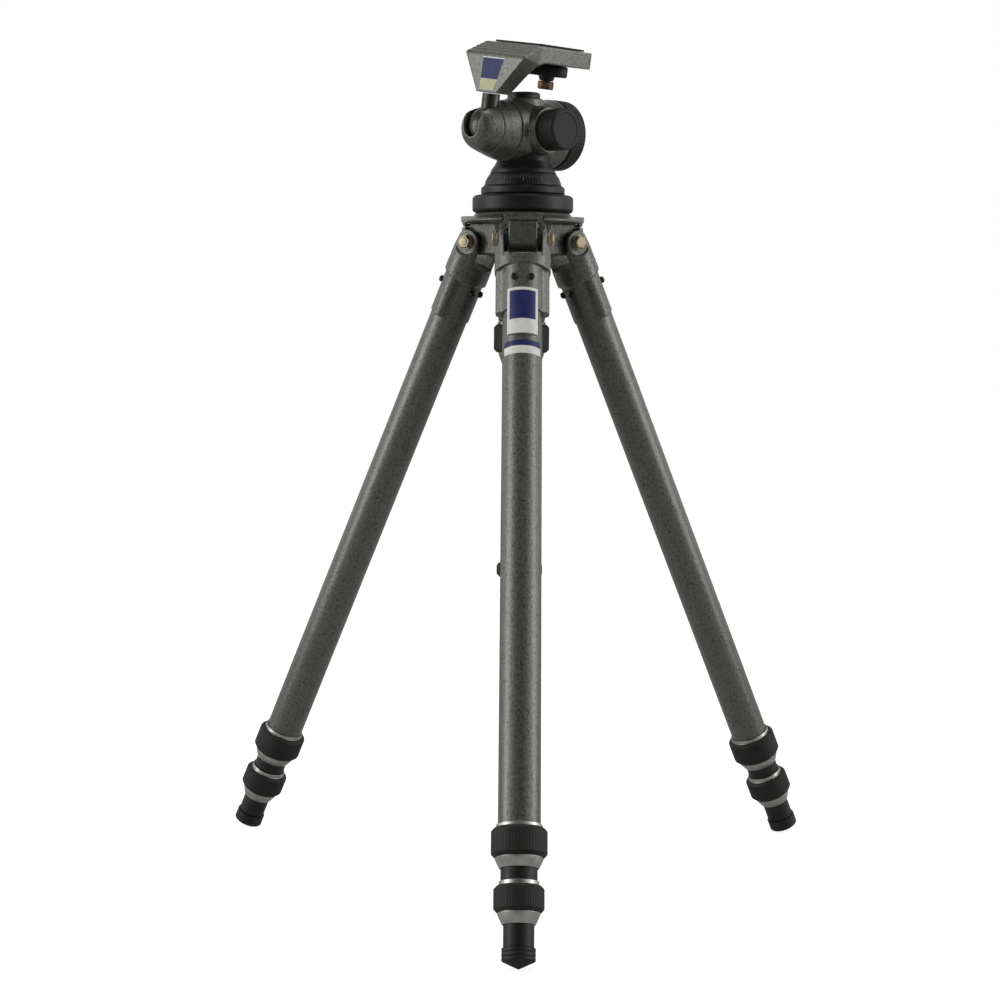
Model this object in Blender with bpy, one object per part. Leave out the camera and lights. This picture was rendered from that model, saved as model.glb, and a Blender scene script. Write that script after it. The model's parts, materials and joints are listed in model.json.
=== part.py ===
"""Three-section tripod with an off-centre ball head, as separate jointed pieces.

Metres, +Z up. The feet stand on z = 0 and the origin is the middle of the footprint.
Sizes below are in millimetres and are turned into metres by MM where a mesh is made.
"""
import math

import bmesh
import bpy
from mathutils import Matrix, Vector

MM = 0.001
GAP = 0.3

# tube diameters of the three leg sections and the column
UPPER_R, MID_R, LOWER_R, COLUMN_R = 14.0, 12.0, 10.0, 12.0
WALL = 1.3

# leg geometry: hinge circle, lean from vertical and length from hinge to foot tip
HINGE_R = 37.4
LEAN = math.radians(24.78)
LEG_LENGTH = 514.85
HINGE_Z = LEG_LENGTH * math.cos(LEAN)
LEG_AZIMUTHS = (-90.0, 30.0, 150.0)

# leg-top fork, distances from the hinge
FORK_HALF = 20.1
EAR_HALF = 17.4
FORK_GAP_HALF = 13.9
CROTCH = 17.0
SLEEVE_END = 59.5
LUG_HALF = 10.25
PIN_R = 3.0
HEEL_TOP = 11.2

# where the locks sit along the leg: top, grip start, grip end, cone end, tube end inside
LOCK_1 = (422.8, 425.0, 444.0, 451.2, 438.0)
LOCK_2 = (459.5, 462.2, 479.2, 487.0, 474.0)
FOOT_TOP, FOOT_BAND_END, FOOT_R = 501.6, 509.6, 11.0

# tripod top and column heights
FLANGE_BOTTOM = 481.3
FLANGE_TOP = 488.2
DISC_BOTTOM, DISC_TOP, DISC_R = 488.6, 500.9, 37.0
BARREL_BOTTOM = 409.3
NECK_BOTTOM = 392.0
CAP_BOTTOM, CAP_TOP = 220.0, 230.5

# ball head: turn about the pan axis, barrel height, ball offset, platform lean
HEAD_TURN = math.radians(-44.0)
BARREL_Z = 547.0
BALL_OFFSET = 37.8
PLATFORM_LEAN = math.radians(9.0)
BALL_R = 15.2
STEM_R = 6.35
STEM_TOP = 25.0
SOCKET_R = 15.6
SLOT_SPREAD = math.tan(math.radians(9.6))
SEAM = 14.3
HOUSING_END = 63.4
KNOB_R, KNOB_START, KNOB_END = 25.7, 64.2, 80.0
PAN_KNOB_R, PAN_KNOB_START, PAN_KNOB_END = 15.0, 27.0, 42.5
BOSS_R = 17.2

# platform, from the ball's centre: along the barrel, across and up
PLATE_TOP, PLATE_BOTTOM, PLATE_END, PLATE_HALF = 62.2, 50.4, 73.0, 27.0
SCREW_AT = 55.0
SCREW_R = 3.17

# the footprint's middle is the origin, so the tripod's own axis stands behind it
FRONT_REACH = HINGE_R + FOOT_BAND_END * math.sin(LEAN) + FOOT_R * math.cos(LEAN)
REAR_AXIS = (HINGE_R + FOOT_BAND_END * math.sin(LEAN)) * 0.5
REAR_REACH = REAR_AXIS + FOOT_R * math.sqrt(1 - (math.sin(LEAN) * 0.5) ** 2)
AXIS_Y = (FRONT_REACH - REAR_REACH) / 2

LEG_SIDES = 20
HEAD_SIDES = 28

for item in list(bpy.data.objects):
    bpy.data.objects.remove(item, do_unlink=True)


def make_material(name, colour, roughness, metallic):
    """A Principled material with one colour."""
    material = bpy.data.materials.new(name)
    material.use_nodes = True
    shader = material.node_tree.nodes["Principled BSDF"]
    shader.inputs["Base Color"].default_value = (*colour, 1.0)
    shader.inputs["Roughness"].default_value = roughness
    shader.inputs["Metallic"].default_value = metallic
    return material


HAMMERTONE = ("hammertone", (0.105, 0.105, 0.095), 0.42, 0.55)
BLACK_METAL = ("black_metal", (0.018, 0.018, 0.016), 0.45, 0.3)
RUBBER = ("rubber", (0.016, 0.016, 0.013), 0.75, 0.0)
ALUMINIUM = ("aluminium", (0.55, 0.55, 0.52), 0.3, 1.0)
BRASS = ("brass", (0.42, 0.33, 0.2), 0.38, 0.9)
GLASS = ("level_glass", (0.62, 0.66, 0.42), 0.08, 0.0)


def empty(name, parent=None, location=(0, 0, 0), turn=(0, 0, 0)):
    """A frame for the pieces that turn or slide about one axis; location in mm."""
    frame = bpy.data.objects.new(name, None)
    bpy.context.scene.collection.objects.link(frame)
    frame.parent = parent
    frame.location = Vector(location) * MM
    frame.rotation_euler = turn
    return frame


def add_object(name, bm, frame, finish=None):
    """Links a closed mesh under a frame; without a finish it is a cutter or a union tool."""
    bmesh.ops.recalc_face_normals(bm, faces=bm.faces)
    mesh = bpy.data.meshes.new(name)
    bm.to_mesh(mesh)
    bm.free()
    made = bpy.data.objects.new(name, mesh)
    bpy.context.scene.collection.objects.link(made)
    made.parent = frame
    if finish:
        label, colour, roughness, metallic = finish
        mesh.materials.append(make_material(f"{name}_{label}", colour, roughness, metallic))
        mesh.shade_smooth()
        mesh.set_sharp_from_angle(angle=math.radians(35))
    else:
        made.hide_render = True
        made.display_type = "WIRE"
    return made


def turned(name, profile, frame, finish=None, sides=LEG_SIDES, place=None):
    """A profile of (radius, height) points turned about the frame's Z axis.

    A profile that starts and ends on the axis is a solid; any other is a ring.
    """
    bm = bmesh.new()
    rings = []
    for radius, height in profile:
        if radius == 0:
            rings.append([bm.verts.new((0, 0, height * MM))])
            continue
        ring = []
        for i in range(sides):
            angle = math.tau * i / sides
            point = (radius * math.cos(angle), radius * math.sin(angle), height)
            ring.append(bm.verts.new(Vector(point) * MM))
        rings.append(ring)
    pairs = list(zip(rings, rings[1:]))
    if len(rings[0]) > 1:
        pairs.append((rings[-1], rings[0]))
    for low, high in pairs:
        for i in range(sides):
            j = (i + 1) % sides
            corners = [low[i % len(low)], low[j % len(low)], high[j % len(high)], high[i % len(high)]]
            bm.faces.new(list(dict.fromkeys(corners)))
    if place:
        bm.transform(place)
    return add_object(name, bm, frame, finish)


def prism(name, outline, low, high, frame, finish=None, along="Z"):
    """A flat outline extruded from low to high along one of the frame's axes.

    Outline points are (x, y) for Z, (y, z) for X and (z, x) for Y.
    """
    order = {"Z": (0, 1, 2), "X": (2, 0, 1), "Y": (1, 2, 0)}[along]
    bm = bmesh.new()
    ends = []
    for depth in (low, high):
        points = [(u, v, depth) for u, v in outline]
        ends.append([bm.verts.new(Vector([p[k] for k in order]) * MM) for p in points])
    bm.faces.new(ends[0])
    bm.faces.new(ends[1])
    for i in range(len(outline)):
        j = (i + 1) % len(outline)
        bm.faces.new((ends[0][i], ends[0][j], ends[1][j], ends[1][i]))
    return add_object(name, bm, frame, finish)


def combine(target, tool, operation="DIFFERENCE"):
    """Joins a tool to the target, or cuts the target with it."""
    boolean = target.modifiers.new(tool.name, "BOOLEAN")
    boolean.operation = operation
    boolean.solver = "EXACT"
    boolean.object = tool


def weld(target):
    """Closes hairline seams that the cuts leave."""
    seam = target.modifiers.new("weld", "WELD")
    seam.merge_threshold = 0.00002


def arc(centre_x, centre_y, radius, start, end, steps):
    """Points along a round stretch, angles in degrees."""
    points = []
    for i in range(steps + 1):
        angle = math.radians(start + (end - start) * i / steps)
        points.append((centre_x + radius * math.cos(angle), centre_y + radius * math.sin(angle)))
    return points


def rounded(half_x, low_y, high_y, radius, steps=3):
    """A rectangle with round corners."""
    outline = []
    corners = (
        (half_x - radius, high_y - radius, 0),
        (radius - half_x, high_y - radius, 90),
        (radius - half_x, low_y + radius, 180),
        (half_x - radius, low_y + radius, 270),
    )
    for x, y, start in corners:
        outline += arc(x, y, radius, start, start + 90, steps)
    return outline


def across(radius, half, name, frame, at=0.0, sides=12):
    """A cylinder cutter along the frame's X axis."""
    circle = arc(0, at, radius, 0, 360 * (sides - 1) / sides, sides - 1)
    return prism(name, circle, -half, half, frame, along="X")


def make_spider(axis):
    """The cast tripod top: column sleeve, flared flange and a lug for each leg."""
    profile = [
        (COLUMN_R + 0.4, NECK_BOTTOM),
        (15.4, NECK_BOTTOM),
        (15.4, BARREL_BOTTOM),
        (17.25, BARREL_BOTTOM),
        (17.25, 468.0),
        (21.0, FLANGE_BOTTOM),
        (42.0, FLANGE_BOTTOM),
        (42.0, 482.8),
        (36.5, 485.6),
        (34.6, FLANGE_TOP),
        (COLUMN_R + 0.4, FLANGE_TOP),
    ]
    spider = turned("spider", profile, axis, HAMMERTONE, sides=30)
    for number, azimuth in enumerate(LEG_AZIMUTHS, 1):
        upright = empty(f"leg_{number}_stop_slide", axis, turn=(0, 0, math.radians(azimuth + 90)))
        lug_front = arc(-HINGE_R, HINGE_Z, 9.0, 270, 180, 5)
        lug = [(-13.0, FLANGE_BOTTOM + 1.5), (-13.0, HINGE_Z - 9.0)] + lug_front
        lug.append((-HINGE_R - 6.0, FLANGE_BOTTOM + 1.5))
        body = prism(f"lug_{number}", lug, -LUG_HALF, LUG_HALF, upright, along="X")
        combine(spider, body, "UNION")
        slot = [(-HINGE_R - 12, 481.2), (-26.6, 481.2), (-26.6, 486.6), (-HINGE_R - 12, 486.6)]
        combine(spider, prism(f"stop_slot_{number}", slot, -14.1, 14.1, upright, along="X"))
        hole = arc(-HINGE_R, HINGE_Z, PIN_R + GAP, 0, 330, 11)
        combine(spider, prism(f"lug_bore_{number}", hole, -30, 30, upright, along="X"))
        make_stop_tab(number, upright)
    bore = [(0, 380), (COLUMN_R + 0.4, 380), (COLUMN_R + 0.4, 500), (0, 500)]
    combine(spider, turned("column_bore", bore, axis, sides=30))


def make_stop_tab(number, upright):
    """The sliding angle stop: a plate with two turned-down ends that meet the fork's heels."""
    plate = [(-27.0, 481.5), (-HINGE_R - 3.2, 481.5), (-HINGE_R - 3.2, 479.0)]
    plate += [(-HINGE_R - 5.4, 479.0), (-HINGE_R - 7.4, 483.2), (-HINGE_R - 7.4, 485.5)]
    plate += [(-HINGE_R - 6.6, 486.3), (-27.0, 486.3)]
    tab = prism(f"stop_tab_{number}", plate, -13.8, 13.8, upright, HAMMERTONE, along="X")
    notch = [(-HINGE_R - 9, 478.0), (-HINGE_R - 2, 478.0), (-HINGE_R - 2, 481.6), (-HINGE_R - 9, 481.6)]
    combine(tab, prism(f"stop_notch_{number}", notch, -10.8, 10.8, upright, along="X"))


def make_column(axis):
    """Centre column with its top disc, stud, end cap and twist lock."""
    disc = [(0, DISC_BOTTOM), (DISC_R - 1.5, DISC_BOTTOM), (DISC_R, DISC_BOTTOM + 1.5)]
    disc += [(DISC_R, DISC_TOP - 1.8), (DISC_R - 1.8, DISC_TOP), (5.0, DISC_TOP), (5.0, 494.6), (0, 494.6)]
    turned("column_disc", disc, axis, BLACK_METAL, sides=30)
    inner = COLUMN_R - WALL
    tube_low, tube_high = CAP_TOP + GAP, DISC_BOTTOM - GAP
    tube = [(inner, tube_low), (COLUMN_R, tube_low), (COLUMN_R, tube_high), (inner, tube_high)]
    turned("column_tube", tube, axis, HAMMERTONE, sides=24)
    stud = [(0, 495.0), (4.7, 495.0), (4.7, 511.5), (4.0, 512.2), (0, 512.2)]
    turned("head_stud", stud, axis, ALUMINIUM, sides=16)
    cap = [(0, CAP_BOTTOM), (15.0, CAP_BOTTOM), (17.0, CAP_BOTTOM + 2.2), (17.0, CAP_TOP - 2.0)]
    cap += [(15.4, CAP_TOP), (inner - GAP, CAP_TOP), (inner - GAP, 246.0), (0, 246.0)]
    turned("column_end_cap", cap, axis, BLACK_METAL, sides=24)
    collar = [
        (15.7, 409.0),
        (17.6, 409.0),
        (17.6, 407.3),
        (18.0, 407.3),
        (18.0, 386.3),
        (17.0, 386.3),
        (14.0, 377.5),
        (COLUMN_R + GAP, 377.5),
        (COLUMN_R + GAP, 391.6),
        (15.7, 391.6),
    ]
    turned("column_lock_collar", collar, axis, ALUMINIUM, sides=24)
    turned("column_lock_grip", grip_profile(18.0 + GAP, 20.4, 386.5, 407.0), axis, RUBBER, sides=24)


def grip_profile(inner, outer, low, high):
    """A rubber sleeve with chamfered ends."""
    return [
        (inner, low),
        (outer - 2.0, low),
        (outer, low + 2.2),
        (outer, high - 2.2),
        (outer - 2.0, high),
        (inner, high),
    ]


def make_lock(number, which, hinge, spans, outer_tube, inner_tube, grip_r):
    """A twist lock: an aluminium collar over the tube's end, with a rubber grip."""
    top, grip_top, grip_end, cone_end, tube_end = spans
    body_r = grip_r - 2.9
    collar = [
        (outer_tube + GAP, -top),
        (outer_tube + 1.1, -top),
        (outer_tube + 1.1, -grip_top + 0.1),
        (body_r, -grip_top + 0.1),
        (body_r, -grip_end - 0.4),
        (grip_r - 2.3, -grip_end - 0.4),
        (inner_tube + 0.9, -cone_end),
        (inner_tube + GAP, -cone_end),
        (inner_tube + GAP, -tube_end - 0.4),
        (outer_tube + GAP, -tube_end - 0.4),
    ]
    turned(f"lock_collar_{which}_{number}", collar, hinge, ALUMINIUM)
    grip = grip_profile(body_r + GAP, grip_r, -grip_end, -grip_top)
    turned(f"lock_grip_{which}_{number}", grip, hinge, RUBBER)


def leg_tube(name, radius, top, end, hinge, finish, shoulder=0.0):
    """One leg section, with a slightly larger guide shoulder at its hidden upper end."""
    inner = radius - WALL
    profile = [(inner, -end), (radius, -end)]
    if shoulder:
        profile += [(radius, -top - 18.0), (radius + shoulder, -top - 17.0)]
    profile += [(radius + shoulder, -top), (inner, -top)]
    turned(name, profile, hinge, finish)


def make_leg_top(number, hinge):
    """The forked casting at the top of a leg, with a sleeve for the upper tube."""
    side = arc(0, 0, 9.0, 0, 180, 8)
    side += [(-11.6, -9.0), (-14.8, -16.0), (-16.0, -20.5), (-15.0, -25.0)]
    side += [(15.0, -30.0), (17.0, -25.0), (17.0, -18.0), (13.4, -9.5)]
    casting = prism(f"leg_top_{number}", side, -23.0, 23.0, hinge, HAMMERTONE, "X")
    outline = [(x * FORK_HALF, y * (16.1 if y > 0 else 15.3)) for x, y in arc(0, 0, 1.01, 9, 351, 19)]
    combine(casting, prism(f"fork_section_{number}", outline, -60.0, 20.0, hinge), "INTERSECT")
    shell = arc(0, 0, 15.2, 20, 160, 8) + [(-19.0, 3.4), (-19.0, -3.4)]
    shell += arc(0, 0, 15.2, 200, 340, 8) + [(19.0, -3.4), (19.0, 3.4)]
    sleeve = prism(f"sleeve_{number}", shell, -SLEEVE_END, -19.5, hinge)
    combine(casting, sleeve, "UNION")
    gap = [(-40.0, -CROTCH), (40.0, -CROTCH), (40.0, 30.0), (-40.0, 30.0)]
    combine(casting, prism(f"fork_gap_{number}", gap, -FORK_GAP_HALF, FORK_GAP_HALF, hinge, along="X"))
    face = arc(0, 0, 9.6, 0, 345, 23)
    combine(casting, prism(f"face_a_{number}", face, -30.0, -EAR_HALF, hinge, along="X"))
    combine(casting, prism(f"face_b_{number}", face, EAR_HALF, 30.0, hinge, along="X"))
    heel = []
    for out, up in ((1.5, 2.0), (5.4, 2.0), (5.4, HEEL_TOP - 1.0), (4.4, HEEL_TOP), (1.5, HEEL_TOP)):
        y = -(out * math.cos(LEAN) + up * math.sin(LEAN))
        heel.append((y, -out * math.sin(LEAN) + up * math.cos(LEAN)))
    for side_name, low, high in (("a", -16.0, -11.4), ("b", 11.4, 16.0)):
        block = prism(f"heel_{side_name}_{number}", heel, low, high, hinge, along="X")
        combine(casting, block, "UNION")
    combine(casting, across(PIN_R + GAP, 40, f"fork_bore_{number}", hinge))
    bore_r = UPPER_R + GAP
    bore = [(0, -SLEEVE_END - 5), (bore_r, -SLEEVE_END - 5), (bore_r, -21.6), (0, -21.6)]
    combine(casting, turned(f"sleeve_bore_{number}", bore, hinge))
    weld(casting)


def make_leg(number, azimuth, axis):
    """A leg in its hinge frame: X along the hinge, the leg running down -Z."""
    angle = math.radians(azimuth)
    pivot = (HINGE_R * math.cos(angle), HINGE_R * math.sin(angle), HINGE_Z)
    hinge = empty(f"leg_{number}_hinge", axis, pivot, (-LEAN, 0, angle + math.pi / 2))
    make_leg_top(number, hinge)
    lay_across = Matrix.Rotation(math.pi / 2, 4, "Y")
    head_in = EAR_HALF + GAP
    bolt = [(0, -head_in - 4.6), (4.6, -head_in - 4.6), (5.5, -head_in - 3.6), (5.5, -head_in)]
    bolt += [(PIN_R, -head_in), (PIN_R, head_in + 5.2), (0, head_in + 5.2)]
    turned(f"hinge_bolt_{number}", bolt, hinge, BRASS, sides=12, place=lay_across)
    nut = [(PIN_R + GAP, head_in), (5.5, head_in), (5.5, head_in + 3.8), (4.6, head_in + 4.6)]
    nut.append((PIN_R + GAP, head_in + 4.6))
    turned(f"hinge_nut_{number}", nut, hinge, BRASS, sides=12, place=lay_across)
    leg_tube(f"upper_tube_{number}", UPPER_R, 22.0, LOCK_1[4], hinge, HAMMERTONE)
    make_lock(number, "upper", hinge, LOCK_1, UPPER_R, MID_R, 18.4)
    leg_tube(f"middle_tube_{number}", MID_R, 30.0, LOCK_2[4], hinge, BLACK_METAL, 0.35)
    make_lock(number, "lower", hinge, LOCK_2, MID_R, LOWER_R, 16.5)
    leg_tube(f"lower_tube_{number}", LOWER_R, 38.0, FOOT_TOP - GAP, hinge, BLACK_METAL, 0.35)
    plug_r = LOWER_R - WALL - GAP
    foot = [(0, -LEG_LENGTH), (FOOT_R - 0.8, -FOOT_BAND_END - 0.6), (FOOT_R, -FOOT_BAND_END)]
    foot += [(FOOT_R, -FOOT_TOP), (plug_r, -FOOT_TOP), (plug_r, -FOOT_TOP + 14), (0, -FOOT_TOP + 14)]
    turned(f"foot_{number}", foot, hinge, RUBBER)


def housing_outline(extra=0.0):
    """The barrel's outer profile as (radius, distance from the ball's centre)."""
    dome = [(0, -17.5), (7.0, -16.9), (11.4, -15.0), (14.2, -12.2), (15.6, -9.0)]
    flank = [(18.3, 0), (21.9, SEAM), (23.2, 30.0), (23.8, 46.0), (24.6, 56.0), (25.6, 61.5)]
    points = dome + flank + [(25.6, HOUSING_END)]
    return [(r + extra if r else 0, d) for r, d in points]


def make_pan_base(axis):
    """The head's fixed foot, its graduated ring and the saddle that turns on it."""
    base = [(0, 512.6), (5.0, 512.6), (5.0, DISC_TOP + GAP), (29.9, DISC_TOP + GAP), (30.7, 502.2)]
    base += [(30.7, 506.2), (29.4, 507.6), (8.0, 507.6), (8.0, 520.0), (0, 520.0)]
    turned("pan_base", base, axis, BLACK_METAL, sides=HEAD_SIDES)
    ring = [(8.3, 507.9), (28.5, 507.9), (27.5, 510.8), (26.1, 513.8), (24.6, 516.6), (8.3, 516.6)]
    turned("pan_scale_ring", ring, axis, BLACK_METAL, sides=HEAD_SIDES)


def make_saddle(pan, barrel, side):
    """The dark neck below the barrel, hollowed to the barrel's round underside."""
    neck = [(0, 516.9), (24.2, 516.9), (23.2, 519.7), (21.0, 522.7), (19.5, 525.6), (18.9, 531.5)]
    neck.append((0, 531.5))
    saddle = turned("swivel_saddle", neck, pan, BLACK_METAL, sides=HEAD_SIDES)
    pocket = [(0, 510.0), (8.3, 510.0), (8.3, 520.4), (0, 520.4)]
    combine(saddle, turned("spindle_pocket", pocket, pan, sides=HEAD_SIDES))
    outline = housing_outline(GAP)
    outline = outline[:-1] + [(outline[-1][0], 70.0), (0, 70.0)]
    combine(saddle, turned("saddle_cut", outline, barrel, sides=HEAD_SIDES))
    boss_room = [(0, 5.0), (BOSS_R + GAP + 0.2, 5.0), (BOSS_R + GAP + 0.2, 40.0), (0, 40.0)]
    combine(saddle, turned("boss_cut", boss_room, side, sides=HEAD_SIDES))
    weld(saddle)


def make_housing(pan, barrel, side):
    """Front ball socket and rear barrel body, with the level's pocket and the pan-lock boss."""
    points = housing_outline()
    seam_at = [d for _, d in points].index(SEAM)
    socket = turned("ball_socket", points[: seam_at + 1] + [(0, SEAM)], barrel, HAMMERTONE, HEAD_SIDES)
    round_end = [(SOCKET_R * math.cos(math.radians(a)), SOCKET_R * math.sin(math.radians(a)))
                 for a in range(-75, 1, 15)]
    cavity = [(0, -SOCKET_R)] + round_end + [(SOCKET_R, 20.0), (0, 20.0)]
    combine(socket, turned("ball_cavity", cavity, barrel, sides=HEAD_SIDES))
    slot = arc(0, 0, STEM_R + 0.5, 10, 170, 10)
    wide = STEM_R + 0.6 + 26.0 * SLOT_SPREAD
    slot += [(-STEM_R - 0.6, 0), (-wide, -26.0), (wide, -26.0), (STEM_R + 0.6, 0)]
    combine(socket, prism("stem_slot", slot, -26.0, 9.3, barrel))
    weld(socket)
    start = [(0, SEAM + GAP), (21.95, SEAM + GAP)]
    body_points = start + points[seam_at + 1:] + [(0, HOUSING_END)]
    body = turned("barrel_body", body_points, barrel, HAMMERTONE, HEAD_SIDES)
    boss = [(0, 8.0), (BOSS_R, 8.0), (BOSS_R, 23.6), (16.4, 24.6), (16.4, PAN_KNOB_START - GAP)]
    boss.append((0, PAN_KNOB_START - GAP))
    combine(body, turned("pan_lock_boss", boss, side, sides=HEAD_SIDES), "UNION")
    seat = [(0, 560.0), (15.2, 560.0), (14.6, 570.0), (13.8, 571.0), (0, 571.0)]
    combine(body, turned("level_seat", seat, pan, sides=24), "UNION")
    bore = [(0, 10.0), (SOCKET_R, 10.0), (SOCKET_R, 50.0), (6.3, 50.0), (6.3, 70.0), (0, 70.0)]
    combine(body, turned("barrel_bore", bore, barrel, sides=HEAD_SIDES))
    shaft = [(0, 12.0), (3.3, 12.0), (3.3, 40.0), (0, 40.0)]
    combine(body, turned("pan_lock_bore", shaft, side, sides=16))
    pocket = [(0, 565.2), (12.3, 565.2), (12.3, 590.0), (0, 590.0)]
    combine(body, turned("level_pocket", pocket, pan, sides=24))
    weld(body)


def make_head(axis):
    """The ball head: pan base, barrel housing, ball, locks, level and camera platform."""
    make_pan_base(axis)
    pan = empty("pan_axis", axis, turn=(0, 0, HEAD_TURN))
    ball_at = (0, -BALL_OFFSET, BARREL_Z)
    barrel = empty("barrel_axis", pan, ball_at, (-math.pi / 2, 0, 0))
    side = empty("pan_lock_axis", pan, (0, 0, BARREL_Z), (0, math.pi / 2, 0))
    ball = empty("ball_centre", pan, ball_at, (0, PLATFORM_LEAN, 0))
    make_saddle(pan, barrel, side)
    make_housing(pan, barrel, side)

    seat = [(y, x) for x, y in arc(0, 0, BALL_R + GAP, 56, 14, 3)]
    cup = [(0, 23.6), (15.2, 23.6), (15.2, seat[0][1])] + seat + [(0, BALL_R + GAP)]
    turned("brake_cup", cup, barrel, BRASS, sides=24)
    pin = [(0, 24.0), (9.0, 24.0), (9.0, 35.6), (0, 35.6)]
    turned("thrust_pin", pin, barrel, ALUMINIUM, sides=16)
    knob = [(0, 36.0), (6.0, 36.0), (6.0, KNOB_START), (24.2, KNOB_START), (KNOB_R, KNOB_START + 1.6)]
    knob += [(KNOB_R, KNOB_END - 2.6), (KNOB_R - 2.4, KNOB_END), (0, KNOB_END)]
    turned("ball_lock_knob", knob, barrel, BLACK_METAL, sides=HEAD_SIDES)
    grip = [(0, 17.0), (3.0, 17.0), (3.0, PAN_KNOB_START), (14.0, PAN_KNOB_START)]
    grip += [(PAN_KNOB_R, 28.2), (PAN_KNOB_R, PAN_KNOB_END - 1.4), (13.6, PAN_KNOB_END), (0, PAN_KNOB_END)]
    turned("pan_lock_knob", grip, side, BLACK_METAL, sides=HEAD_SIDES)
    case = [(0, 565.5), (12.0, 565.5), (12.0, 574.4), (11.0, 575.4), (9.3, 575.4), (9.3, 570.8), (0, 570.8)]
    turned("level_case", case, pan, BLACK_METAL, sides=24)
    vial = [(0, 571.1), (9.0, 571.1), (9.0, 574.2), (6.0, 574.9), (0, 575.1)]
    turned("level_vial", vial, pan, GLASS, sides=24)

    top = math.degrees(math.acos(STEM_R / BALL_R))
    stem = [(0, -BALL_R)] + arc(0, 0, BALL_R, -75, top, 10) + [(STEM_R, STEM_TOP), (0, STEM_TOP)]
    turned("ball_stem", stem, ball, ALUMINIUM, sides=24)
    make_platform(ball)


def make_platform(ball):
    """The raked camera platform on the ball's stem, with its pad and camera screw."""
    low = STEM_TOP + GAP
    profile = [(-6.0, low), (8.4, low), (10.4, 31.0), (12.0, 37.0), (13.8, 42.5), (16.4, 46.8), (19.8, 49.3)]
    profile += [(24.5, PLATE_BOTTOM), (PLATE_END, PLATE_BOTTOM), (PLATE_END, PLATE_TOP)]
    profile += [(16.0, PLATE_TOP), (0.2, 53.8), (-1.4, 52.0)]
    platform = prism("camera_platform", profile, -32.0, 32.0, ball, HAMMERTONE, "X")
    front = [(10.5, 20.0), (10.5, low + 1.0), (29.9, 52.4), (29.9, 75.0)]
    front += [(-x, z) for x, z in reversed(front)]
    outline = [(z, x) for x, z in front]
    combine(platform, prism("front_taper", outline, -40.0, 90.0, ball, along="Y"), "INTERSECT")
    plan = [(29.9, -20.0), (29.9, 0.5), (PLATE_HALF + 0.4, 17.0), (PLATE_HALF, 71.0), (25.2, 80.0)]
    plan += [(-x, y) for x, y in reversed(plan)]
    combine(platform, prism("plan_taper", plan, 0.0, 90.0, ball), "INTERSECT")
    hole = [(x, y + SCREW_AT) for x, y in arc(0, 0, SCREW_R + 0.4, 0, 345, 15)]
    combine(platform, prism("screw_hole", hole, 40.0, 80.0, ball))
    pad_low = PLATE_TOP + GAP
    pad = prism("camera_pad", rounded(24.5, 21.0, 67.0, 3.0), pad_low, pad_low + 1.3, ball, RUBBER)
    wide_hole = [(x, y + SCREW_AT) for x, y in arc(0, 0, SCREW_R + 1.2, 0, 345, 15)]
    combine(pad, prism("pad_hole", wide_hole, 60.0, 70.0, ball))

    screw_axis = empty("camera_screw_axis", ball, (0, SCREW_AT, 0))
    lobes = []
    for i in range(36):
        angle = math.tau * i / 36
        radius = 15.2 + 1.8 * math.cos(3 * angle)
        lobes.append((radius * math.cos(angle), radius * math.sin(angle)))
    knob = prism("screw_lock_knob", lobes, 42.2, PLATE_BOTTOM - GAP, screw_axis, BLACK_METAL)
    neck = [(0, 38.9), (5.0, 38.9), (6.6, 44.0), (0, 44.0)]
    combine(knob, turned("lock_knob_neck", neck, screw_axis, sides=16), "UNION")
    bore = [(0, 30.0), (SCREW_R + GAP, 30.0), (SCREW_R + GAP, 60.0), (0, 60.0)]
    combine(knob, turned("lock_knob_bore", bore, screw_axis, sides=16))
    screw = [(0, 32.6), (5.2, 32.6), (5.85, 33.4), (5.85, 37.8), (5.2, 38.6), (SCREW_R, 38.6)]
    screw += [(SCREW_R, 62.8), (2.6, 63.4), (0, 63.4)]
    turned("camera_screw", screw, screw_axis, BRASS, sides=16)


tripod_axis = empty("tripod_axis", location=(0, AXIS_Y, 0))
make_spider(tripod_axis)
make_column(tripod_axis)
for leg_number, leg_azimuth in enumerate(LEG_AZIMUTHS, 1):
    make_leg(leg_number, leg_azimuth, tripod_axis)
make_head(tripod_axis)
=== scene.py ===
"""Looks of the folding tripod with an off-centre ball head.

Every visible piece is turned, extruded or cast here at fine resolution, in the frames that
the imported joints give. Sizes are in millimetres and become metres through MM.
"""

import json
import math

import bmesh
import bpy
from mathutils import Matrix, Vector


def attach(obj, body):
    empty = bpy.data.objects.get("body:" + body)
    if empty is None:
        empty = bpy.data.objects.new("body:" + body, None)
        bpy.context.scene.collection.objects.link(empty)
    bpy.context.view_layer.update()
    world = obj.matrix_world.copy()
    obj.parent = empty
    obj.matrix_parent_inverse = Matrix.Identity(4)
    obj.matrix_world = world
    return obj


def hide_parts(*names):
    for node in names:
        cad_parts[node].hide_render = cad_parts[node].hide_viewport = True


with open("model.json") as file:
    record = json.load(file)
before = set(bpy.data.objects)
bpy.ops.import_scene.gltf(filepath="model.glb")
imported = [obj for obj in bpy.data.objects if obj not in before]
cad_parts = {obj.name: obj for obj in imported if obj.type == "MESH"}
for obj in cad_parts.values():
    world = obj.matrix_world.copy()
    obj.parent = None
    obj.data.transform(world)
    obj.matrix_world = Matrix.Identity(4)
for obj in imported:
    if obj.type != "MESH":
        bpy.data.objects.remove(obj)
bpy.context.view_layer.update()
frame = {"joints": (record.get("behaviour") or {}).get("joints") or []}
MM = 0.001
JOINTS = {joint["name"]: joint for joint in frame["joints"]}
LEGS = (1, 2, 3)
UP = Vector((0, 0, 1))

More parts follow.
